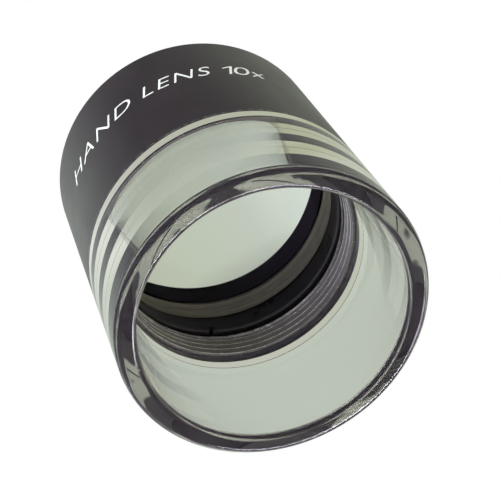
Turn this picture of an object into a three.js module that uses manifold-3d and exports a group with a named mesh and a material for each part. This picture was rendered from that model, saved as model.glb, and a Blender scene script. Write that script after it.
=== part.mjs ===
// Hand-held viewing loupe, standing on its clear skirt with the eye end up.
// Frame: millimetres, +Z along the optical axis towards the eye, origin at the centre of the skirt's base.
//
// Two fixed pieces carry everything else: a black tube with a short female thread near its lower end, and a thick
// clear skirt whose collar is bonded into the tube's mouth. A lens tube screws up and down inside the black tube to
// focus. It holds a front lens, a spacer, a cemented pair and the eye ring that the fingers turn.

import * as THREE from "three";
import { mergeVertices } from "three/addons/utils/BufferGeometryUtils.js";
import Module from "manifold-3d";

// ---- driving dimensions ----
const SEGMENTS = 64; // facets round every turned piece
const ARC_STEPS = 5; // chords along each lens surface
const FILLET_STEPS = 3; // chords along each rounded corner
const GAP = 0.3; // clearance between touching pieces

const BODY_R = 19.0; // outside radius of the tube and of the skirt
const SKIRT_TOP = 17.0; // where the clear skirt ends
const BARREL_TOP = 42.35; // where the black tube ends
const SKIRT_BORE_LOW_R = 16.3; // the moulded bore tapers upwards, from just above the rim
const SKIRT_BORE_TOP_R = 15.65;
const RIM_OUTER_FILLET = 0.9;
const RIM_INNER_FILLET = 0.8;
const SPIGOT = { r: 17.0, top: 17.6 }; // the skirt's upper collar, which centres it in the black tube

const THREAD_R = 15.35; // crest radius of the female thread above the skirt
const THREAD_TOP = 22.45; // upper end of that thread, the stop under the lens tube
const THREAD_CHAMFER = 0.35;
const BARREL_BORE_R = 17.2;
const BARREL_TOP_CHAMFER = 0.4;

const TUBE_R = 16.9; // outside radius of the lens tube
const TUBE_FRONT = 23.6;
const TUBE_BACK = 39.3;
const TUBE_BORE_R = 16.3; // front bore, for the retaining ring, the front lens and the spacer
const TUBE_SHOULDER = 33.7; // where the front bore ends
const TUBE_REAR_BORE_R = 14.5; // rear bore, for the cemented pair
const GROOVE = { low: 35.6, high: 37.4, r: 15.9 }; // seat of the damping ring

const RETAINER = { front: 23.55, step: 25.8, back: 27.3, outer: 16, inner: 15.3, undercut: 15.6, bevel: 0.15 };
const NOTCH = { width: 0.6, depth: 1.25, angles: [123.5, 303.5] }; // spanner notches, degrees round from +X

const FRONT_LENS = { r: 15.95, edgeLow: 27.9, edgeHigh: 29.2, curveLow: 52, curveHigh: 52 };
const SPACER = { low: 29.75, high: 33.4, outer: 16.0, inner: 15.2 };
const CROWN = { r: 14.2, edgeLow: 34.7, edgeHigh: 35.7, curveLow: 40, curveHigh: 40 };
const FLINT = { r: 14.2, edgeLow: 36.0, edgeHigh: 39.3, curveLow: -40, curveHigh: 150 };

const DAMPER = { low: 35.9, high: 37.1, inner: 16.2, outer: 16.95, corner: 0.25 };

const EYE = {
  bottom: 39.6, // underside, on the lens tube and just clear of the rear lens
  top: 44.0, // upper rim, above the black tube
  outer: 16.9,
  openingR: 12.2, // clear opening in front of the eye
  lipTop: 40.9, // top of the thin lip round the opening
  dishR: 15.6, // inner radius at the upper rim, the wide end of the dished face
  chamfer: 0.35,
};

// ---- profiles: lists of [radius, z], anticlockwise when radius runs right and z runs up ----

// Corner points of a quarter-round fillet of radius f, turning from angle a0 to a1 (degrees).
function fillet(centreR, centreZ, f, a0, a1) {
  return Array.from({ length: FILLET_STEPS + 1 }, (_, i) => {
    const a = THREE.MathUtils.degToRad(a0 + ((a1 - a0) * i) / FILLET_STEPS);
    return [centreR + f * Math.cos(a), centreZ + f * Math.sin(a)];
  });
}

// How far a spherical surface of the given curvature radius has fallen back at radius r.
function sag(curve, r) {
  return Math.sign(curve) * (Math.abs(curve) - Math.sqrt(curve * curve - r * r));
}

// Half-section of a lens: up from the lower vertex to the edge, then back to the axis on the upper side.
function lensProfile({ r, edgeLow, edgeHigh, curveLow, curveHigh }) {
  const lowVertex = edgeLow - sag(curveLow, r);
  const highVertex = edgeHigh + sag(curveHigh, r);
  const steps = Array.from({ length: ARC_STEPS + 1 }, (_, i) => (r * i) / ARC_STEPS);
  const lower = steps.map((s) => [s, lowVertex + sag(curveLow, s)]);
  const upper = steps.map((s) => [s, highVertex - sag(curveHigh, s)]).reverse();
  return [...lower, ...upper];
}

const skirtProfile = [
  ...fillet(SKIRT_BORE_LOW_R + RIM_INNER_FILLET, RIM_INNER_FILLET, RIM_INNER_FILLET, 180, 270),
  ...fillet(BODY_R - RIM_OUTER_FILLET, RIM_OUTER_FILLET, RIM_OUTER_FILLET, 270, 360),
  [BODY_R, SKIRT_TOP],
  [SPIGOT.r, SKIRT_TOP],
  [SPIGOT.r, SPIGOT.top],
  [SKIRT_BORE_TOP_R, SPIGOT.top],
  [SKIRT_BORE_TOP_R, SKIRT_TOP],
];

const barrelBottom = SKIRT_TOP + GAP;
const threadBottom = SPIGOT.top + GAP;
const barrelProfile = [
  [THREAD_R, threadBottom + THREAD_CHAMFER],
  [THREAD_R + THREAD_CHAMFER, threadBottom],
  [SPIGOT.r + GAP, threadBottom],
  [SPIGOT.r + GAP, barrelBottom],
  [BODY_R, barrelBottom],
  [BODY_R, BARREL_TOP - BARREL_TOP_CHAMFER],
  [BODY_R - BARREL_TOP_CHAMFER, BARREL_TOP],
  [BARREL_BORE_R, BARREL_TOP],
  [BARREL_BORE_R, THREAD_TOP],
  [THREAD_R + THREAD_CHAMFER, THREAD_TOP],
  [THREAD_R, THREAD_TOP - THREAD_CHAMFER],
];

const tubeProfile = [
  [TUBE_BORE_R, TUBE_FRONT],
  [TUBE_R, TUBE_FRONT],
  [TUBE_R, GROOVE.low],
  [GROOVE.r, GROOVE.low],
  [GROOVE.r, GROOVE.high],
  [TUBE_R, GROOVE.high],
  [TUBE_R, TUBE_BACK],
  [TUBE_REAR_BORE_R, TUBE_BACK],
  [TUBE_REAR_BORE_R, TUBE_SHOULDER],
  [TUBE_BORE_R, TUBE_SHOULDER],
];

const retainerProfile = [
  [RETAINER.inner, RETAINER.front + RETAINER.bevel],
  [RETAINER.inner + RETAINER.bevel, RETAINER.front],
  [RETAINER.outer, RETAINER.front],
  [RETAINER.outer, RETAINER.back],
  [RETAINER.undercut, RETAINER.back],
  [RETAINER.undercut, RETAINER.step],
  [RETAINER.inner, RETAINER.step],
];

const spacerProfile = [
  [SPACER.inner, SPACER.low],
  [SPACER.outer, SPACER.low],
  [SPACER.outer, SPACER.high],
  [SPACER.inner, SPACER.high],
];

const damperProfile = [
  [DAMPER.inner, DAMPER.low + DAMPER.corner],
  [DAMPER.inner + DAMPER.corner, DAMPER.low],
  [DAMPER.outer - DAMPER.corner, DAMPER.low],
  [DAMPER.outer, DAMPER.low + DAMPER.corner],
  [DAMPER.outer, DAMPER.high - DAMPER.corner],
  [DAMPER.outer - DAMPER.corner, DAMPER.high],
  [DAMPER.inner + DAMPER.corner, DAMPER.high],
  [DAMPER.inner, DAMPER.high - DAMPER.corner],
];

const flintVertex = FLINT.edgeHigh + sag(FLINT.curveHigh, FLINT.r);
const eyeProfile = [
  [EYE.openingR, flintVertex + GAP],
  [FLINT.r, EYE.bottom],
  [EYE.outer, EYE.bottom],
  [EYE.outer, EYE.top - EYE.chamfer],
  [EYE.outer - EYE.chamfer, EYE.top],
  [EYE.dishR, EYE.top],
  [EYE.openingR, EYE.lipTop],
];

// ---- solids ----

// A turned solid about Z. A profile off the axis is a ring, and is closed on itself.
function turned(profile) {
  const onAxis = profile[0][0] === 0;
  const points = (onAxis ? profile : [...profile, profile[0]]).map(([r, z]) => new THREE.Vector2(r, z));
  return new THREE.LatheGeometry(points, SEGMENTS).rotateX(Math.PI / 2);
}

const wasm = await Module();
wasm.setup();

function toManifold(geometry) {
  const bare = geometry.clone();
  bare.deleteAttribute("normal");
  bare.deleteAttribute("uv");
  const merged = mergeVertices(bare, 1e-4);
  const vertProperties = new Float32Array(merged.getAttribute("position").array);
  const triVerts = new Uint32Array(merged.index.array);
  return new wasm.Manifold(new wasm.Mesh({ numProp: 3, vertProperties, triVerts }));
}

function fromManifold(solid) {
  const mesh = solid.getMesh();
  return new THREE.BufferGeometry()
    .setAttribute("position", new THREE.BufferAttribute(mesh.vertProperties, 3))
    .setIndex(new THREE.BufferAttribute(mesh.triVerts, 1));
}

// The retaining ring with its spanner notches cut through the front of its wall.
function notchedRetainer() {
  let ring = toManifold(turned(retainerProfile));
  const length = RETAINER.outer - RETAINER.inner + 2; // one past the wall at each end
  for (const degrees of NOTCH.angles) {
    const cutter = new THREE.BoxGeometry(length, NOTCH.width, 2 * NOTCH.depth);
    cutter.translate((RETAINER.inner + RETAINER.outer) / 2, 0, RETAINER.front);
    cutter.rotateZ(THREE.MathUtils.degToRad(degrees));
    ring = ring.subtract(toManifold(cutter));
  }
  return fromManifold(ring);
}

// ---- materials ----
const blackAnodised = { color: 0x2a2829, roughness: 0.45, metalness: 0.6 };
const dullBlack = { color: 0x171618, roughness: 0.7, metalness: 0.4 };
const bareAluminium = { color: 0x8d877c, roughness: 0.4, metalness: 0.9 };
const clearAcrylic = { color: 0xe9eee8, roughness: 0.05, metalness: 0, transparent: true, opacity: 0.35 };
const coatedGlass = { color: 0xd6ddd2, roughness: 0.02, metalness: 0, transparent: true, opacity: 0.35 };
const blackRubber = { color: 0x0f0f10, roughness: 0.8, metalness: 0 };

const loupe = new THREE.Group();

function piece(name, geometry, look) {
  const mesh = new THREE.Mesh(geometry, new THREE.MeshStandardMaterial(look));
  mesh.name = name;
  loupe.add(mesh);
}

piece("barrel_shell", turned(barrelProfile), blackAnodised);
piece("skirt", turned(skirtProfile), clearAcrylic);
piece("damping_ring", turned(damperProfile), blackRubber);
piece("lens_tube", turned(tubeProfile), dullBlack);
piece("retaining_ring", notchedRetainer(), dullBlack);
piece("front_lens", turned(lensProfile(FRONT_LENS)), coatedGlass);
piece("spacer_ring", turned(spacerProfile), bareAluminium);
piece("rear_crown", turned(lensProfile(CROWN)), coatedGlass);
piece("rear_flint", turned(lensProfile(FLINT)), coatedGlass);
piece("eye_ring", turned(eyeProfile), blackAnodised);

export default loupe;
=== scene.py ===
"""Viewing loupe, seen from its open base: looks and stage for Blender 4.5."""

import math

import bmesh
import bpy
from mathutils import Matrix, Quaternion, Vector


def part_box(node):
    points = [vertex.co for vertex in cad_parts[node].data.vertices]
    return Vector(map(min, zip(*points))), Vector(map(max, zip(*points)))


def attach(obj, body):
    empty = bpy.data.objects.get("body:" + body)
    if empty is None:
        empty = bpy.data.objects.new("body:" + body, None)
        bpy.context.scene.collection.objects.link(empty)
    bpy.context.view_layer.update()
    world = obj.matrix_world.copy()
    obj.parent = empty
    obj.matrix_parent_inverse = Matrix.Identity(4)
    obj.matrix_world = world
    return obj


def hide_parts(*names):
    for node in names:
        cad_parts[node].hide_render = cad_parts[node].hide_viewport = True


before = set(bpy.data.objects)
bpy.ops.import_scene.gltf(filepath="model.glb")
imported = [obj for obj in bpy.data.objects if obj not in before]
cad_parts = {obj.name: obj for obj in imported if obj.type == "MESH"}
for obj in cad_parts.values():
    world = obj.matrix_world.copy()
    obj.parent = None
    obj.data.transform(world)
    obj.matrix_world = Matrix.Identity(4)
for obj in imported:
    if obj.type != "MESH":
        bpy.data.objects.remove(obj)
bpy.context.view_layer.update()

MM = 0.001
TURN = 2 * math.pi
TINY = 1e-6  # shorter than this is no length at all
NEAR = 0.01  # millimetres within which a face counts as lying on a surface

# ---------------------------------------------------------------- camera
CAMERA_PLACE = Vector((0.0, -88.30, -127.39)) * MM
CAMERA_AIM = Vector((1.33, -0.02, 16.08)) * MM
CAMERA_ROLL = math.radians(-30.25)
CAMERA_LENS = 96.71
SENSOR = 36.0


def make_camera():
    data = bpy.data.cameras.new("camera")
    data.sensor_width = SENSOR
    data.lens = CAMERA_LENS
    data.clip_start = 0.005
    data.clip_end = 10.0
    camera = bpy.data.objects.new("camera", data)
    bpy.context.scene.collection.objects.link(camera)
    level = (CAMERA_AIM - CAMERA_PLACE).to_track_quat("-Z", "Y")
    camera.rotation_mode = "QUATERNION"
    camera.rotation_quaternion = level @ Quaternion((0, 0, 1), CAMERA_ROLL)
    camera.location = CAMERA_PLACE
    bpy.context.scene.camera = camera


make_camera()

# ---------------------------------------------------------------- node materials
# sockets of a Mix node that mixes colours
MIX_FACTOR, MIX_A, MIX_B, MIX_RESULT = 0, 6, 7, 2


class Nodes:
    """Short hand for building the node tree of a material or a world."""

    def __init__(self, owner, output="ShaderNodeOutputMaterial"):
        self.owner = owner
        owner.use_nodes = True
        self.tree = owner.node_tree
        self.tree.nodes.clear()
        self.out = self.add(output)

    def add(self, kind, inputs=None, **settings):
        node = self.tree.nodes.new(kind)
        for key, value in settings.items():
            setattr(node, key, value)
        for key, value in (inputs or {}).items():
            node.inputs[key].default_value = value
        return node

    def link(self, source, target):
        self.tree.links.new(source, target)

    def place(self, stretch=(1, 1, 1)):
        """Position on the piece in metres, stretched along each axis."""
        coords = self.add("ShaderNodeTexCoord")
        mapping = self.add("ShaderNodeMapping", {"Scale": stretch})
        self.link(coords.outputs["Object"], mapping.inputs["Vector"])
        return mapping.outputs["Vector"]

    def noise(self, scale, detail=3.0, stretch=(1, 1, 1), roughness=0.5):
        node = self.add("ShaderNodeTexNoise", {"Scale": scale, "Detail": detail, "Roughness": roughness})
        self.link(self.place(stretch), node.inputs["Vector"])
        return node.outputs["Fac"]

    def radius_and_height(self):
        """Distance from the axis and height on the piece, in metres."""
        split = self.add("ShaderNodeSeparateXYZ")
        self.link(self.place(), split.inputs["Vector"])
        flat = self.add("ShaderNodeCombineXYZ")
        self.link(split.outputs["X"], flat.inputs["X"])
        self.link(split.outputs["Y"], flat.inputs["Y"])
        radius = self.add("ShaderNodeVectorMath", operation="LENGTH")
        self.link(flat.outputs["Vector"], radius.inputs[0])
        return radius.outputs["Value"], split.outputs["Z"]

    def section(self):
        """Place in the turned section, as a vector (radius, 0, height) in metres."""
        radius, height = self.radius_and_height()
        joined = self.add("ShaderNodeCombineXYZ")
        self.link(radius, joined.inputs["X"])
        self.link(height, joined.inputs["Z"])
        return joined.outputs["Vector"]

    def turning_marks(self, scale, detail=2.0):
        """Noise that varies only across the turned section: the fine lines that a lathe tool leaves."""
        node = self.add("ShaderNodeTexNoise", {"Scale": scale, "Detail": detail, "Roughness": 0.6})
        self.link(self.section(), node.inputs["Vector"])
        return node.outputs["Fac"]

    def span(self, value, low, high, out_low, out_high):
        """Maps low..high to out_low..out_high, and holds the ends beyond."""
        node = self.add(
            "ShaderNodeMapRange",
            {"From Min": low, "From Max": high, "To Min": out_low, "To Max": out_high},
        )
        self.link(value, node.inputs["Value"])
        return node.outputs["Result"]

    def calculate(self, operation, a, b):
        node = self.add("ShaderNodeMath", operation=operation)
        self.link(a, node.inputs[0])
        self.link(b, node.inputs[1])
        return node.outputs["Value"]

    def blend(self, factor, colour_a, colour_b):
        """A mix of two colours, each a tuple or a socket."""
        node = self.add("ShaderNodeMix", data_type="RGBA")
        self.link(factor, node.inputs[MIX_FACTOR])
        for colour, socket in ((colour_a, node.inputs[MIX_A]), (colour_b, node.inputs[MIX_B])):
            if isinstance(colour, tuple):
                socket.default_value = (*colour, 1)
            else:
                self.link(colour, socket)
        return node.outputs[MIX_RESULT]

    def product(self, colour_a, colour_b):
        """Two colour sockets multiplied."""
        node = self.add("ShaderNodeMix", data_type="RGBA", blend_type="MULTIPLY")
        node.inputs[MIX_FACTOR].default_value = 1.0
        self.link(colour_a, node.inputs[MIX_A])
        self.link(colour_b, node.inputs[MIX_B])
        return node.outputs[MIX_RESULT]

    def bump(self, height, strength, distance_mm, onto=None):
        node = self.add("ShaderNodeBump", {"Strength": strength, "Distance": distance_mm * MM})
        self.link(height, node.inputs["Height"])
        if onto is not None:
            self.link(onto, node.inputs["Normal"])
        return node.outputs["Normal"]

    def shader(self, links, **settings):
        """The Principled shader: fixed values by setting, and sockets fed by other nodes by link."""
        node = self.add("ShaderNodeBsdfPrincipled")
        for key, value in settings.items():
            socket = node.inputs[key.replace("_", " ")]
            socket.default_value = (*value, 1) if isinstance(value, tuple) else value
        for key, source in links.items():
            self.link(source, node.inputs[key])
        self.link(node.outputs["BSDF"], self.out.inputs["Surface"])
        return self.owner


def new_material(name):
    """The nodes of a new material."""
    return Nodes(bpy.data.materials.new(name))


ACRYLIC_IOR = 1.49
GLASS_IOR = 1.53
# how much of its reflection a clear surface keeps, in each colour
ACRYLIC_TONE = (0.55, 0.49, 0.62)
COATING = (0.16, 0.13, 0.22)


def acrylic_material(name, scuffs):
    """Clear cast acrylic with a trace of moulding waviness and, by the given amount, fine handling scuffs."""
    n = new_material(name)
    waves = n.noise(90.0, 2.0, (1, 1, 0.35))
    scratches = n.noise(900.0, 4.0, (1, 1, 0.08), 0.7)
    wavy = n.bump(waves, 0.02 + 0.03 * scuffs, 0.25)
    haze = n.span(scratches, 0.6, 0.76, 0.0, 0.05 * scuffs)
    return n.shader(
        {"Normal": wavy, "Roughness": haze},
        Base_Color=(0.985, 0.988, 0.98),
        IOR=ACRYLIC_IOR,
        Specular_Tint=ACRYLIC_TONE,
        Transmission_Weight=1.0,
    )


def glass_material(name, tint):
    """Polished, coated optical glass, with a little dust that softens it in places."""
    n = new_material(name)
    dust = n.span(n.noise(700.0), 0.72, 0.85, 0.0, 0.12)
    return n.shader(
        {"Roughness": dust},
        Base_Color=tint,
        IOR=GLASS_IOR,
        Specular_Tint=COATING,
        Transmission_Weight=1.0,
    )


WEAR_FULL = 0.12  # millimetres from a corner within which the black may rub off
WEAR_END = 0.34


def anodised_material(name, dark, worn, roughness, corners=()):
    """Satin black anodised aluminium with turning lines and fine etch grain.

    The black is rubbed at the corners, given as (radius, height) in millimetres.
    """
    n = new_material(name)
    marks = n.turning_marks(5200.0)
    etch = n.noise(6500.0, 2.0)
    patches = n.noise(160.0, 4.0, (1, 1, 0.6))
    bumped = n.bump(etch, 0.10, 0.02, n.bump(marks, 0.08, 0.02))
    tone = n.blend(n.span(patches, 0.35, 0.7, 0.0, 1.0), dark, tuple(1.5 * c for c in dark))
    for corner_r, corner_z in corners:
        off = n.add("ShaderNodeVectorMath", {1: (corner_r * MM, 0, corner_z * MM)}, operation="DISTANCE")
        n.link(n.section(), off.inputs[0])
        wear = n.calculate(
            "MULTIPLY",
            n.span(off.outputs["Value"], WEAR_FULL * MM, WEAR_END * MM, 1.0, 0.0),
            n.span(n.noise(1500.0, 4.0), 0.46, 0.66, 0.0, 1.0),
        )
        tone = n.blend(wear, tone, worn)
    rough = n.span(patches, 0.3, 0.75, roughness - 0.05, roughness + 0.07)
    return n.shader({"Base Color": tone, "Roughness": rough, "Normal": bumped}, Specular_IOR_Level=0.4)


def thread_material(crest_r):
    """Machined thread: dark flanks, and crests painted as bright metal, partly where the anodising has rubbed
    through and partly as a painted highlight along each crest line.
    """
    n = new_material("machined_thread")
    radius, _ = n.radius_and_height()
    patches = n.noise(420.0, 4.0)
    # painted highlight: the crests are painted near-white, for wear and for the bright lines that the crests
    # catch
    crest_wear_and_highlight = n.span(radius, (crest_r + 0.02) * MM, (crest_r + 0.005) * MM, 0.0, 1.0)
    rubbed = n.calculate("MULTIPLY", crest_wear_and_highlight, n.span(patches, 0.25, 0.55, 0.35, 1.0))
    tone = n.blend(rubbed, (0.17, 0.155, 0.17), (1.0, 0.99, 1.0))
    rough = n.span(patches, 0.3, 0.7, 0.20, 0.34)
    marks = n.bump(n.turning_marks(7000.0), 0.15, 0.02)
    return n.shader({"Base Color": tone, "Roughness": rough, "Normal": marks}, Metallic=0.75)


def bare_metal_material():
    """Bare turned aluminium with clear tool lines."""
    n = new_material("turned_aluminium")
    marks = n.turning_marks(3600.0, 3.0)
    tone = n.blend(n.span(marks, 0.35, 0.65, 0.0, 1.0), (0.50, 0.46, 0.42), (0.85, 0.80, 0.74))
    rough = n.span(n.noise(300.0), 0.3, 0.7, 0.34, 0.48)
    lines = n.bump(marks, 0.35, 0.03)
    return n.shader({"Base Color": tone, "Roughness": rough, "Normal": lines}, Metallic=0.1)


def faced_material():
    """The tube's end face: bare turned metal with an uneven margin of black adhesive round the joint."""
    n = new_material("faced_tube_end")
    radius, _ = n.radius_and_height()
    marks = n.turning_marks(900.0, 1.0)
    metal = n.blend(n.span(marks, 0.3, 0.7, 0.0, 1.0), (0.58, 0.60, 0.54), (0.66, 0.68, 0.61))
    margin = n.span(n.noise(170.0, 2.0), 0.35, 0.65, 17.5 * MM, 18.9 * MM)
    past_margin = n.calculate("SUBTRACT", radius, margin)
    bare = n.span(past_margin, -0.08 * MM, 0.08 * MM, 0.0, 1.0)
    tone = n.blend(bare, (0.050, 0.042, 0.058), metal)
    return n.shader({"Base Color": tone}, Roughness=0.55, Metallic=0.2)


def ink_material():
    """White printing ink, a little thin in places."""
    n = new_material("white_ink")
    cover = n.noise(2600.0)
    tone = n.blend(n.span(cover, 0.3, 0.55, 0.0, 1.0), (0.66, 0.70, 0.69), (0.90, 0.94, 0.93))
    surface = n.bump(cover, 0.2, 0.01)
    return n.shader({"Base Color": tone, "Normal": surface}, Roughness=0.5)


def joint_material():
    """Black adhesive in the joint between the skirt's collar and the tube."""
    n = new_material("black_joint")
    cover = n.span(n.noise(800.0), 0.3, 0.7, 0.0, 1.0)
    tone = n.blend(cover, (0.060, 0.049, 0.068), (0.090, 0.076, 0.098))
    return n.shader({"Base Color": tone}, Roughness=0.7, Specular_IOR_Level=0.0)


def edge_paint_material():
    """Matt black paint on the ground edges of the lenses and on the inside of the eye ring."""
    n = new_material("lens_edge_paint")
    tone = n.blend(n.noise(2400.0), (0.008, 0.008, 0.010), (0.022, 0.020, 0.024))
    return n.shader({"Base Color": tone}, Roughness=0.75, Specular_IOR_Level=0.1)


def rubber_material():
    """Black rubber with a fine grain."""
    n = new_material("black_rubber")
    grain = n.noise(3000.0, 4.0)
    tone = n.blend(grain, (0.012, 0.012, 0.013), (0.03, 0.03, 0.03))
    return n.shader({"Base Color": tone, "Normal": n.bump(grain, 0.3, 0.03)}, Roughness=0.8)


# ---------------------------------------------------------------- mesh tools
def finish_mesh(name, bm, body, node, material, sharp=30.0, more=(), slot=None):
    """Turns a bmesh in millimetres into a smooth-shaded piece in metres that rides on a CAD body.

    more lists further materials, each with the test that picks its faces by radius, height and normal.
    """
    bmesh.ops.remove_doubles(bm, verts=bm.verts, dist=1e-5)
    bmesh.ops.dissolve_degenerate(bm, dist=TINY, edges=bm.edges)
    bmesh.ops.recalc_face_normals(bm, faces=bm.faces)
    for face in bm.faces:
        centre = face.calc_center_median()
        for index, (_, test) in enumerate(more):
            if test(math.hypot(centre.x, centre.y), centre.z, face.normal):
                face.material_index = index + 1
    bmesh.ops.scale(bm, vec=(MM, MM, MM), verts=bm.verts)
    mesh = bpy.data.meshes.new(name)
    bm.to_mesh(mesh)
    bm.free()
    mesh.shade_smooth()
    mesh.set_sharp_from_angle(angle=math.radians(sharp))
    mesh.materials.append(material)
    for extra, _ in more:
        mesh.materials.append(extra)
    piece = bpy.data.objects.new(name, mesh)
    bpy.context.scene.collection.objects.link(piece)
    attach(piece, body)
    if node:
        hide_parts(node)
    return piece


def arc(centre_r, centre_z, radius, start, stop, steps):
    """Points of a rounded corner, as (radius, height), from one angle to another in degrees."""
    points = []
    for i in range(steps + 1):
        a = math.radians(start + (stop - start) * i / steps)
        points.append((centre_r + radius * math.cos(a), centre_z + radius * math.sin(a)))
    return points


def on_ring(r, z, a):
    """A point by radius, height and angle from the -Y side."""
    return (r * math.sin(a), -r * math.cos(a), z)


def ring_of(bm, r, z, angles):
    """Vertices round a circle. On the axis they are all one vertex."""
    if r < TINY:
        return [bm.verts.new((0, 0, z))] * len(angles)
    return [bm.verts.new(on_ring(r, z, a)) for a in angles]


def bridge(bm, low, high):
    """Faces between two closed rows of vertices."""
    count = len(low)
    for j in range(count):
        k = (j + 1) % count
        corners = []
        for v in (low[j], low[k], high[k], high[j]):
            if v not in corners:
                corners.append(v)
        if len(corners) > 2:
            bm.faces.new(corners)


def even_angles(segments):
    return [TURN * j / segments for j in range(segments)]


def turned_bmesh(profile, segments, shape):
    """A solid of revolution. shape(r, z, angle) may move each point, and returns its radius and height."""
    angles = even_angles(segments)
    bm = bmesh.new()
    rings = []
    for r, z in profile:
        if shape and r > TINY:
            moved = [shape(r, z, a) for a in angles]
            rings.append([bm.verts.new(on_ring(q, h, a)) for (q, h), a in zip(moved, angles)])
        else:
            rings.append(ring_of(bm, r, z, angles))
    pairs = list(zip(rings, rings[1:]))
    if profile[0][0] > TINY:
        pairs.append((rings[-1], rings[0]))
    for low, high in pairs:
        bridge(bm, low, high)
    return bm


def turned(name, profile, body, node, material, segments=256, shape=None, **rest):
    return finish_mesh(name, turned_bmesh(profile, segments, shape), body, node, material, **rest)


def extent(node):
    """Outer radius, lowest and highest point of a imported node, in millimetres."""
    low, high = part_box(node)
    return high.x / MM, low.z / MM, high.z / MM


# ---------------------------------------------------------------- clear skirt and black tube, in millimetres
BODY_R, _, COLLAR_TOP = extent("skirt")
_, BARREL_LOW, BARREL_TOP = extent("barrel_shell")
JOINT_GAP = 0.3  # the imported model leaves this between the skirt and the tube
SKIRT_TOP = BARREL_LOW - JOINT_GAP
BORE_LOW = 16.3
BORE_TOP = 15.65
COLLAR_R = 17.0
RIM_INNER = 0.8
RIM_OUTER = 0.9
RIM_STEPS = 16
POLISHED_HEIGHT = 0.5  # the rounded rim is polished up to here
SEAM = 0.05  # bevel at the top of the skirt, painted with the joint's black as a painted shadow line where the skirt meets the tube

FOOT = BARREL_LOW - 0.26  # underside of the tube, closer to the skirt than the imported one
FOOT_BEVEL = 0.06
MOUTH_R = COLLAR_R + 0.04
BARREL_BORE = 17.2
BARREL_BEVEL = 0.2
BARREL_FILLET = 0.35
BARREL_SEGMENTS = 256

PITCH = 1.12
THREAD_PHASE = 0.465  # where round the tube the helix starts, as a fraction of a turn
THREAD_CREST = 15.35
THREAD_ROOT = 15.8
THREAD_LOW = COLLAR_TOP + 0.02
THREAD_HIGH = 22.45  # top of the plain land above the thread
THREAD_CHAMFER = 0.35
THREAD_END = THREAD_HIGH - 0.75
RUN_OUT = 0.6  # height over which the groove fades out at its upper end
RUN_IN = 0.18
# one pitch of the thread: fraction of the pitch, radius
THREAD_FORM = [(0.0, THREAD_CREST), (0.11, THREAD_CREST), (0.46, THREAD_ROOT), (0.64, THREAD_ROOT)]

BARREL_BLACK = (0.019, 0.0150, 0.0180)
WORN_BLACK = (0.10, 0.095, 0.10)
acrylic = acrylic_material("clear_acrylic", 1.0)
polished_acrylic = acrylic_material("polished_acrylic", 0.1)
joint = joint_material()
barrel_black = anodised_material(
    "satin_black_anodised",
    BARREL_BLACK,
    WORN_BLACK,
    0.36,
    [(BODY_R, BARREL_LOW), (BODY_R, BARREL_TOP), (BARREL_BORE, BARREL_TOP)],
)
thread_metal = thread_material(THREAD_CREST)
faced_metal = faced_material()


def make_skirt():
    """The clear skirt, with its collar inside the tube's mouth."""
    profile = [(BORE_TOP, COLLAR_TOP), (BORE_TOP, SKIRT_TOP), (BORE_LOW, RIM_INNER)]
    profile += arc(BORE_LOW + RIM_INNER, RIM_INNER, RIM_INNER, 184, 270, RIM_STEPS)
    profile += arc(BODY_R - RIM_OUTER, RIM_OUTER, RIM_OUTER, 270, 360, RIM_STEPS)
    profile += [(BODY_R, SKIRT_TOP - SEAM), (BODY_R - SEAM, SKIRT_TOP)]
    profile += [(COLLAR_R, SKIRT_TOP), (COLLAR_R, COLLAR_TOP)]

    def glued_or_seam_shadow(r, z, normal):
        on_collar = z > SKIRT_TOP + NEAR and r > BORE_TOP + NEAR
        # painted shadow: the seam bevel takes the joint's black and stands for the shade line at the junction
        seam_painted_shadow = r > BODY_R - SEAM and z > SKIRT_TOP - SEAM and abs(normal.z) < 0.9
        return on_collar or seam_painted_shadow

    def rounded_rim(r, z, normal):
        return z < POLISHED_HEIGHT

    more = [(joint, glued_or_seam_shadow), (polished_acrylic, rounded_rim)]
    turned("clear_skirt", profile, "barrel", "skirt", acrylic, 360, more=more)


def thread_point(turns, r, a):
    """A point of the thread, so many turns up the helix. The groove fades out towards both ends."""
    z = THREAD_LOW + PITCH * turns
    if z <= THREAD_LOW:
        return on_ring(THREAD_CREST, THREAD_LOW, a)
    if z >= THREAD_END:
        return on_ring(THREAD_CREST, THREAD_END, a)
    depth = min(1.0, (THREAD_END - z) / RUN_OUT, (z - THREAD_LOW) / RUN_IN)
    return on_ring(THREAD_CREST + (r - THREAD_CREST) * depth, z, a)


def add_thread(bm, angles):
    """The helical thread. A row climbs one pitch in a turn, so it ends where a later one starts."""
    count = len(angles)
    rows = []
    for turn in range(math.ceil((THREAD_END - THREAD_LOW) / PITCH) + 3):
        for fraction, r in THREAD_FORM:
            start = turn - 2 + THREAD_PHASE + fraction
            points = [thread_point(start + j / count, r, a) for j, a in enumerate(angles)]
            rows.append([bm.verts.new(point) for point in points])
    per_turn = len(THREAD_FORM)
    for i in range(len(rows) - 1):
        low, high = rows[i], rows[i + 1]
        for j in range(count - 1):
            bm.faces.new((low[j], low[j + 1], high[j + 1], high[j]))
        if i + 1 + per_turn < len(rows):
            bm.faces.new((low[-1], rows[i + per_turn][0], rows[i + 1 + per_turn][0], high[-1]))


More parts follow.
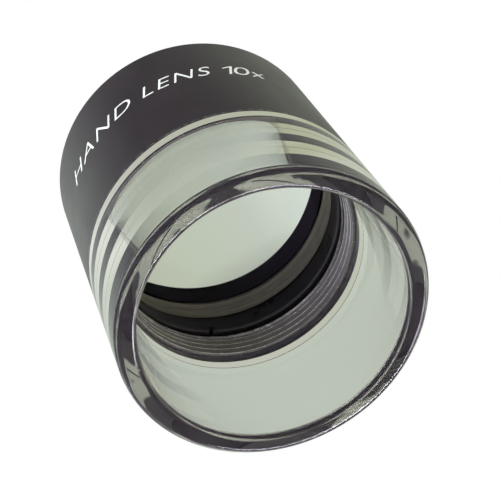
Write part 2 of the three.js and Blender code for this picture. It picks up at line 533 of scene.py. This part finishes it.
def make_barrel():
    """The black tube, with a helical thread cut in its lower end."""
    angles = even_angles(BARREL_SEGMENTS)
    bm = bmesh.new()
    add_thread(bm, angles)
    start = ring_of(bm, THREAD_CREST, THREAD_LOW, angles)
    ring = ring_of(bm, THREAD_CREST, THREAD_END, angles)
    profile = [
        (THREAD_CREST, THREAD_HIGH - THREAD_CHAMFER),
        (THREAD_CREST + THREAD_CHAMFER, THREAD_HIGH),
        (BARREL_BORE, THREAD_HIGH),
        (BARREL_BORE, BARREL_TOP - BARREL_BEVEL),
        (BARREL_BORE + BARREL_BEVEL, BARREL_TOP),
    ]
    profile += arc(BODY_R - BARREL_FILLET, BARREL_TOP - BARREL_FILLET, BARREL_FILLET, 90, 0, 8)
    profile += [(BODY_R, FOOT + FOOT_BEVEL), (BODY_R - FOOT_BEVEL, FOOT)]
    profile += [(MOUTH_R, FOOT), (MOUTH_R, THREAD_LOW)]
    for r, z in profile:
        following = ring_of(bm, r, z, angles)
        bridge(bm, ring, following)
        ring = following
    bridge(bm, ring, start)
    bmesh.ops.remove_doubles(bm, verts=bm.verts, dist=1e-5)
    slivers = [face for face in bm.faces if face.calc_area() < 1e-9]
    bmesh.ops.delete(bm, geom=slivers, context="FACES_ONLY")

    def threaded(r, z, normal):
        return r < BARREL_BORE - NEAR and z <= THREAD_HIGH + NEAR

    def underside(r, z, normal):
        return r > COLLAR_R and z < FOOT + FOOT_BEVEL and normal.z < -0.9

    more = [(thread_metal, threaded), (faced_metal, underside)]
    finish_mesh("barrel", bm, "barrel", "barrel_shell", barrel_black, 25.0, more=more)


make_skirt()
make_barrel()

# ---------------------------------------------------------------- lettering
CAP_HEIGHT = 2.95
BASELINE = 29.9
SLANT = 0.24
# text, first and last angle in degrees from the -Y side, height against a capital
WORDS = [
    ("HAND", -46.5, -8.0, 1.0),
    ("LENS", -2.0, 25.5, 1.0),
    ("1", 30.6, 34.5, 1.0),
    ("0", 35.3, 41.7, 1.0),
    ("x", 42.7, 48.0, 0.62),
]
# outline of a numeral one with a long flag, in a square of side 1
ONE = [(0.74, 0), (1, 0), (1, 1), (0.8, 1), (0, 0.76), (0, 0.66), (0.74, 0.87)]
INK_LOW = BODY_R - 0.02
INK_HIGH = BODY_R + 0.025
LETTER_STEP = 1.2  # degrees between the cuts that let a word bend round the tube


def one_bmesh():
    """The numeral one, as a closed flat solid that fills the unit cube."""
    bm = bmesh.new()
    low, high = ([bm.verts.new((x, y, z)) for x, y in ONE] for z in (0, 1))
    bm.faces.new(low)
    bm.faces.new(high)
    bridge(bm, low, high)
    bmesh.ops.triangulate(bm, faces=bm.faces)
    return bm


def word_bmesh(text):
    """A word in the standard font, as a closed flat solid that fills the unit cube."""
    curve = bpy.data.curves.new("word", "FONT")
    curve.body = text
    curve.extrude = 0.05
    curve.offset = -0.011
    curve.space_character = 1.12
    curve.resolution_u = 8
    holder = bpy.data.objects.new("word", curve)
    bpy.context.scene.collection.objects.link(holder)
    mesh = bpy.data.meshes.new_from_object(holder)
    bpy.data.objects.remove(holder)
    bpy.data.curves.remove(curve)
    bm = bmesh.new()
    bm.from_mesh(mesh)
    bpy.data.meshes.remove(mesh)
    bmesh.ops.remove_doubles(bm, verts=bm.verts, dist=1e-5)
    for axis in range(3):
        values = [v.co[axis] for v in bm.verts]
        low, high = min(values), max(values)
        for v in bm.verts:
            v.co[axis] = (v.co[axis] - low) / (high - low)
    return bm


def make_lettering():
    """The words, bent round the tube and sunk a little into it, as one piece."""
    whole = bmesh.new()
    for text, first, last, height in WORDS:
        bm = one_bmesh() if text == "1" else word_bmesh(text)
        steps = max(4, round((last - first) / LETTER_STEP))
        for i in range(1, steps):
            geometry = bm.verts[:] + bm.edges[:] + bm.faces[:]
            cut = (i / steps, 0, 0)
            bmesh.ops.bisect_plane(bm, geom=geometry, plane_co=cut, plane_no=(1, 0, 0), dist=TINY)
        for v in bm.verts:
            x, y, depth = v.co
            up = y * CAP_HEIGHT * height
            a = math.radians(first + (last - first) * x) + SLANT * (up - CAP_HEIGHT / 2) / BODY_R
            v.co = on_ring(INK_LOW + (INK_HIGH - INK_LOW) * depth, BASELINE + up, a)
        part = bpy.data.meshes.new("part")
        bm.to_mesh(part)
        bm.free()
        whole.from_mesh(part)
        bpy.data.meshes.remove(part)
    finish_mesh("lettering", whole, "barrel", None, ink_material(), 40.0, slot="barrel_shell")


make_lettering()

# ---------------------------------------------------------------- lens unit
CELL_R, CELL_FRONT, CELL_BACK = extent("lens_tube")
CELL_BORE = 16.3
CELL_REAR_BORE = 14.5
CELL_SHOULDER = 33.7
CELL_BARE_TOP = 35.2  # the bore behind the shoulder is bare metal up to here
CELL_BEVEL = 0.1
CELL_LEAD = 0.15  # height of the bevel at the mouth of the bore
GROOVE_R = 15.9
GROOVE_LOW = 35.6
GROOVE_HIGH = 37.4

RETAINER_R, RETAINER_FRONT, RETAINER_BACK = extent("retaining_ring")
RETAINER_INNER = 15.3
RETAINER_UNDERCUT = 15.6
RETAINER_STEP = 25.8
RETAINER_BEVEL = 0.25
NOTCH_WIDTH = 0.6
NOTCH_DEPTH = 1.25
NOTCH_ANGLES = [213.5, 33.5]  # degrees from the -Y side
NOTCH_WALL = 0.02  # half the angle, in degrees, in which a notch drops to its floor
NOTCH_CLEAR = 0.3  # degrees beside a notch that are kept free of other points

SPACER_R, _, SPACER_HIGH = extent("spacer_ring")
SPACER_INNER = 15.2
SPACER_LOW = 29.4
SPACER_BEVEL = 0.1

REAR_LENS_R = 14.2
EYE_R, EYE_LOW, EYE_TOP = extent("eye_ring")
EYE_OPENING = 12.2
EYE_LIP_LOW = 40.3
EYE_LIP_HIGH = 40.85
EYE_LIP_BEVEL = 0.15
EYE_DISH_R = 15.75  # where the dished face meets the upper rim
EYE_DISH_BEND = (14.1, 42.4)
EYE_BEVEL = 0.35
KNURLS = 120
KNURL_DEPTH = 0.11
KNURL_LOW = 42.6
KNURL_HIGH = 43.6

DULL_BLACK_WORN = (0.12, 0.12, 0.12)
cell_black = anodised_material("dull_black_anodised", (0.010, 0.0095, 0.011), DULL_BLACK_WORN, 0.42)
ring_black = anodised_material("ring_black_anodised", (0.030, 0.026, 0.035), DULL_BLACK_WORN, 0.30)
spacer_metal = bare_metal_material()
edge_black = edge_paint_material()
crown_glass = glass_material("crown_glass", (0.99, 0.995, 0.985))
flint_glass = glass_material("flint_glass", (0.99, 0.99, 0.98))
# piece, node, radius, heights of the edge, radii of the lower and the upper surface, glass
LENSES = [
    ("lens_front", "front_lens", 15.95, 27.9, 29.2, 52, 52, crown_glass),
    ("lens_rear_crown", "rear_crown", REAR_LENS_R, 34.7, 35.7, 40, 40, crown_glass),
    ("lens_rear_flint", "rear_flint", REAR_LENS_R, 35.72, 39.3, -40, 150, flint_glass),
]


def make_lens_cell():
    """The tube that holds the lenses, with the groove of the damping ring."""
    profile = [
        (CELL_BORE, CELL_FRONT + CELL_LEAD),
        (CELL_BORE + CELL_BEVEL, CELL_FRONT),
        (CELL_R - CELL_BEVEL, CELL_FRONT),
        (CELL_R, CELL_FRONT + CELL_BEVEL),
        (CELL_R, GROOVE_LOW),
        (GROOVE_R, GROOVE_LOW),
        (GROOVE_R, GROOVE_HIGH),
        (CELL_R, GROOVE_HIGH),
        (CELL_R, CELL_BACK),
        (CELL_REAR_BORE, CELL_BACK),
        (CELL_REAR_BORE, CELL_BARE_TOP),
        (CELL_REAR_BORE, CELL_SHOULDER),
        (CELL_BORE, CELL_SHOULDER),
    ]

    def bare_step(r, z, normal):
        """The step that the spacer rests against, and the bore just behind it, are left bare."""
        return r < SPACER_R and z < CELL_BARE_TOP

    turned("lens_cell", profile, "lens_unit", "lens_tube", cell_black, more=[(spacer_metal, bare_step)])


def make_retainer():
    """The threaded ring that holds the front lens, with two spanner notches cut in its front."""
    half = math.degrees(NOTCH_WIDTH / 2 / RETAINER_INNER)
    degrees = [1.5 * i for i in range(240)]
    for centre in NOTCH_ANGLES:
        degrees = [a for a in degrees if abs(a - centre) > half + NOTCH_CLEAR]
        degrees += [centre + side * half + wall for side in (-1, 1) for wall in (-NOTCH_WALL, NOTCH_WALL)]
    degrees.sort()
    angles = [math.radians(a) for a in degrees]
    in_notch = [any(abs(a - centre) < half for centre in NOTCH_ANGLES) for a in degrees]
    profile = [
        (RETAINER_INNER, RETAINER_FRONT + RETAINER_BEVEL),
        (RETAINER_INNER + RETAINER_BEVEL, RETAINER_FRONT),
        (RETAINER_R, RETAINER_FRONT),
        (RETAINER_R, RETAINER_BACK),
        (RETAINER_UNDERCUT, RETAINER_BACK),
        (RETAINER_UNDERCUT, RETAINER_STEP),
        (RETAINER_INNER, RETAINER_STEP),
    ]
    notch_floor = RETAINER_FRONT + NOTCH_DEPTH
    bm = bmesh.new()
    rings = []
    for r, z in profile:
        heights = [max(z, notch_floor) if cut else z for cut in in_notch]
        rings.append([bm.verts.new(on_ring(r, h, a)) for h, a in zip(heights, angles)])
    for low, high in zip(rings, rings[1:] + rings[:1]):
        bridge(bm, low, high)
    finish_mesh("retainer", bm, "lens_unit", "retaining_ring", ring_black, 25.0)


def make_spacer():
    """The bare sleeve between the front lens and the shoulder in the cell."""
    profile = [
        (SPACER_INNER, SPACER_LOW + SPACER_BEVEL),
        (SPACER_INNER + SPACER_BEVEL, SPACER_LOW),
        (SPACER_R, SPACER_LOW),
        (SPACER_R, SPACER_HIGH),
        (SPACER_INNER, SPACER_HIGH),
    ]
    turned("spacer", profile, "lens_unit", "spacer_ring", spacer_metal)


def sag(curve, s):
    """How far a spherical lens surface has fallen back at distance s from the axis."""
    return math.copysign(abs(curve) - math.sqrt(curve * curve - s * s), curve)


def lens_profile(r, low, high, curve_low, curve_high, steps=32):
    """Half the section of a lens, from the heights of its edge and the radii of its two surfaces."""
    out = [r * i / steps for i in range(steps + 1)]
    under = [(s, low - sag(curve_low, r) + sag(curve_low, s)) for s in out]
    over = [(s, high + sag(curve_high, r) - sag(curve_high, s)) for s in reversed(out)]
    return under + over


def make_lens(name, node, r, low, high, curve_low, curve_high, material):
    """A lens with its edge painted black."""

    def edge(radius, z, normal):
        return radius > r - 2 * NEAR

    profile = lens_profile(r, low, high, curve_low, curve_high)
    turned(name, profile, "lens_unit", node, material, more=[(edge_black, edge)])


def make_eyepiece():
    """The eye ring, dished towards the eye, with straight knurling round its upper rim."""
    profile = [
        (EYE_OPENING, EYE_LIP_LOW),
        (REAR_LENS_R, EYE_LOW),
        (EYE_R, EYE_LOW),
        (EYE_R, KNURL_LOW - 0.1),
        (EYE_R, KNURL_LOW),
        (EYE_R, KNURL_HIGH),
        (EYE_R, KNURL_HIGH + 0.05),
        (EYE_R - EYE_BEVEL, EYE_TOP),
        (EYE_DISH_R, EYE_TOP),
        (EYE_DISH_R - 0.15, EYE_TOP - 0.08),
        EYE_DISH_BEND,
        (EYE_OPENING + EYE_LIP_BEVEL, EYE_LIP_HIGH + EYE_LIP_BEVEL),
        (EYE_OPENING, EYE_LIP_HIGH),
    ]
    corners = [(EYE_R, EYE_TOP - 0.3), (EYE_R - EYE_BEVEL, EYE_TOP), (EYE_DISH_R - 0.1, EYE_TOP)]
    eye_black = anodised_material("eye_ring_anodised", BARREL_BLACK, WORN_BLACK, 0.38, corners)

    def knurled(r, z, a):
        if r > EYE_R - NEAR and KNURL_LOW - NEAR < z < KNURL_HIGH + NEAR:
            return r - KNURL_DEPTH * (1 - math.cos(KNURLS * a)), z
        return r, z

    def inside(r, z, normal):
        return r < REAR_LENS_R and z < EYE_LIP_LOW

    more = [(edge_black, inside)]
    turned("eyepiece", profile, "lens_unit", "eye_ring", eye_black, 8 * KNURLS, shape=knurled, more=more)


make_lens_cell()
make_retainer()
make_spacer()
for lens in LENSES:
    make_lens(*lens)
make_eyepiece()

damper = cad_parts["damping_ring"]
damper.data.materials.clear()
damper.data.materials.append(rubber_material())

# ---------------------------------------------------------------- stage
STUDIO_STRENGTH = 1.85
TOP_LIGHT_STRENGTH = 1.6
TOP_LIGHT_SPREAD = 70
FLOOR_DROP = 0.05
FLOOR_HALF = 1500.0
LIGHT_BOUNCES = 48  # light crosses the clear wall many times before it leaves


def grey(value):
    return (value, value, value)


# The studio's colour along each axis: the axis, then (cosine to the axis, colour). The ramps multiply.
STUDIO = [
    (
        (0, 0, 1),
        [
            (-1.0, (0.58, 0.60, 0.52)),
            (-0.65, (0.55, 0.57, 0.49)),
            (-0.45, grey(0.80)),
            (-0.05, grey(0.80)),
            (0.25, (0.50, 0.53, 0.49)),
            (0.6, (0.55, 0.60, 0.53)),
        ],
    ),
    (
        (0, 1, 0),
        [
            (-0.9, grey(0.72)),
            (-0.5, (0.64, 0.62, 0.66)),
            (-0.1, (0.94, 0.94, 0.96)),
            (0.1, grey(1.0)),
        ],
    ),
    (
        (1, 0, -1),
        [
            (0.55, grey(1.0)),
            (0.9, (0.74, 0.76, 0.58)),
        ],
    ),
    (
        (0, -0.52, 0.85),
        [
            (0.70, grey(1.0)),
            (0.86, (0.70, 0.68, 0.71)),
            (0.96, (0.36, 0.33, 0.37)),
        ],
    ),
    (
        (1, 0, 0),
        [
            (-0.60, (0.80, 0.80, 0.86)),
            (-0.12, (0.54, 0.535, 0.545)),
            (0.15, (0.52, 0.52, 0.50)),
            (0.5, (0.50, 0.49, 0.46)),
        ],
    ),
]


def studio_ramp(n, direction, axis, stops):
    """The studio's colour in a direction, by its cosine to one axis."""
    cosine = n.add("ShaderNodeVectorMath", {1: Vector(axis).normalized()}, operation="DOT_PRODUCT")
    n.link(direction, cosine.inputs[0])
    ramp = n.add("ShaderNodeValToRGB")
    n.link(n.span(cosine.outputs["Value"], -1.0, 1.0, 0.0, 1.0), ramp.inputs["Fac"])
    elements = ramp.color_ramp.elements
    while len(elements) < len(stops):
        elements.new(0.5)
    for element, (place, colour) in zip(elements, stops):
        element.position = (place + 1) / 2
        element.color = (*colour, 1)
    return ramp.outputs["Color"]


def make_world():
    """White behind the object, and a soft studio round it for reflections and for what shows through it."""
    world = bpy.data.worlds.new("studio")
    bpy.context.scene.world = world
    n = Nodes(world, "ShaderNodeOutputWorld")
    direction = n.add("ShaderNodeTexCoord").outputs["Generated"]
    ramps = [studio_ramp(n, direction, axis, stops) for axis, stops in STUDIO]
    colour = ramps[0]
    for ramp in ramps[1:]:
        colour = n.product(colour, ramp)
    around = n.add("ShaderNodeBackground", {"Strength": STUDIO_STRENGTH})
    n.link(colour, around.inputs["Color"])
    behind = n.add("ShaderNodeBackground", {"Color": (1, 1, 1, 1)})
    path = n.add("ShaderNodeLightPath")
    pick = n.add("ShaderNodeMixShader")
    n.link(path.outputs["Is Camera Ray"], pick.inputs["Fac"])
    n.link(around.outputs["Background"], pick.inputs[1])
    n.link(behind.outputs["Background"], pick.inputs[2])
    n.link(pick.outputs["Shader"], n.out.inputs["Surface"])


def add_lamp(name, kind, power, reflected=False):
    """A lamp that the camera doesn't see. Unless it is reflected, it lights matt surfaces only."""
    data = bpy.data.lights.new(name, kind)
    data.energy = power
    lamp = bpy.data.objects.new(name, data)
    bpy.context.scene.collection.objects.link(lamp)
    lamp.visible_camera = False
    lamp.visible_glossy = reflected
    lamp.visible_transmission = False
    return lamp


def make_soft_box(name, place_mm, aim_mm, size_mm, power, reflected=False):
    """A rectangular soft light, wide by high."""
    lamp = add_lamp(name, "AREA", power, reflected)
    wide, high = size_mm
    lamp.data.shape = "RECTANGLE"
    lamp.data.size = wide * MM
    lamp.data.size_y = high * MM
    place = Vector(place_mm) * MM
    lamp.location = place
    lamp.rotation_mode = "QUATERNION"
    lamp.rotation_quaternion = (Vector(aim_mm) * MM - place).to_track_quat("-Z", "Y")


def make_top_light():
    """Even light from straight above, for the table top and the upper faces."""
    lamp = add_lamp("top_light", "SUN", TOP_LIGHT_STRENGTH)
    lamp.data.angle = math.radians(TOP_LIGHT_SPREAD)


def make_floor():
    """A pale table top under the rim. It shows from above only, which leaves the open base in view."""
    n = new_material("pale_floor")
    matt = n.add("ShaderNodeBsdfPrincipled", {"Roughness": 0.85})
    tone = n.blend(n.noise(2.5, 2.0), (0.80, 0.80, 0.79), (0.84, 0.84, 0.83))
    n.link(tone, matt.inputs["Base Color"])
    clear = n.add("ShaderNodeBsdfTransparent")
    side = n.add("ShaderNodeNewGeometry")
    mix = n.add("ShaderNodeMixShader")
    n.link(side.outputs["Backfacing"], mix.inputs["Fac"])
    n.link(matt.outputs["BSDF"], mix.inputs[1])
    n.link(clear.outputs["BSDF"], mix.inputs[2])
    n.link(mix.outputs["Shader"], n.out.inputs["Surface"])
    half = FLOOR_HALF * MM
    bm = bmesh.new()
    corners = [(-1, -1), (1, -1), (1, 1), (-1, 1)]
    bm.faces.new([bm.verts.new((half * x, half * y, -FLOOR_DROP * MM)) for x, y in corners])
    mesh = bpy.data.meshes.new("floor")
    bm.to_mesh(mesh)
    bm.free()
    mesh.materials.append(n.owner)
    floor = bpy.data.objects.new("floor", mesh)
    bpy.context.scene.collection.objects.link(floor)
    floor.visible_glossy = False
    floor.visible_transmission = False
    floor.visible_diffuse = False
    floor.visible_shadow = False


make_world()
make_top_light()
make_floor()
make_soft_box("front_fill", (-150, -380, 60), (0, 0, 30), (300, 300), 1.6)
make_soft_box("rim_glint", (30, 310, -251), (0, 0, 0), (260, 100), 1.5, reflected=True)
bpy.context.scene.view_settings.view_transform = "Standard"
light_paths = bpy.context.scene.cycles
light_paths.max_bounces = LIGHT_BOUNCES
light_paths.glossy_bounces = LIGHT_BOUNCES
light_paths.transmission_bounces = LIGHT_BOUNCES
light_paths.transparent_max_bounces = LIGHT_BOUNCES
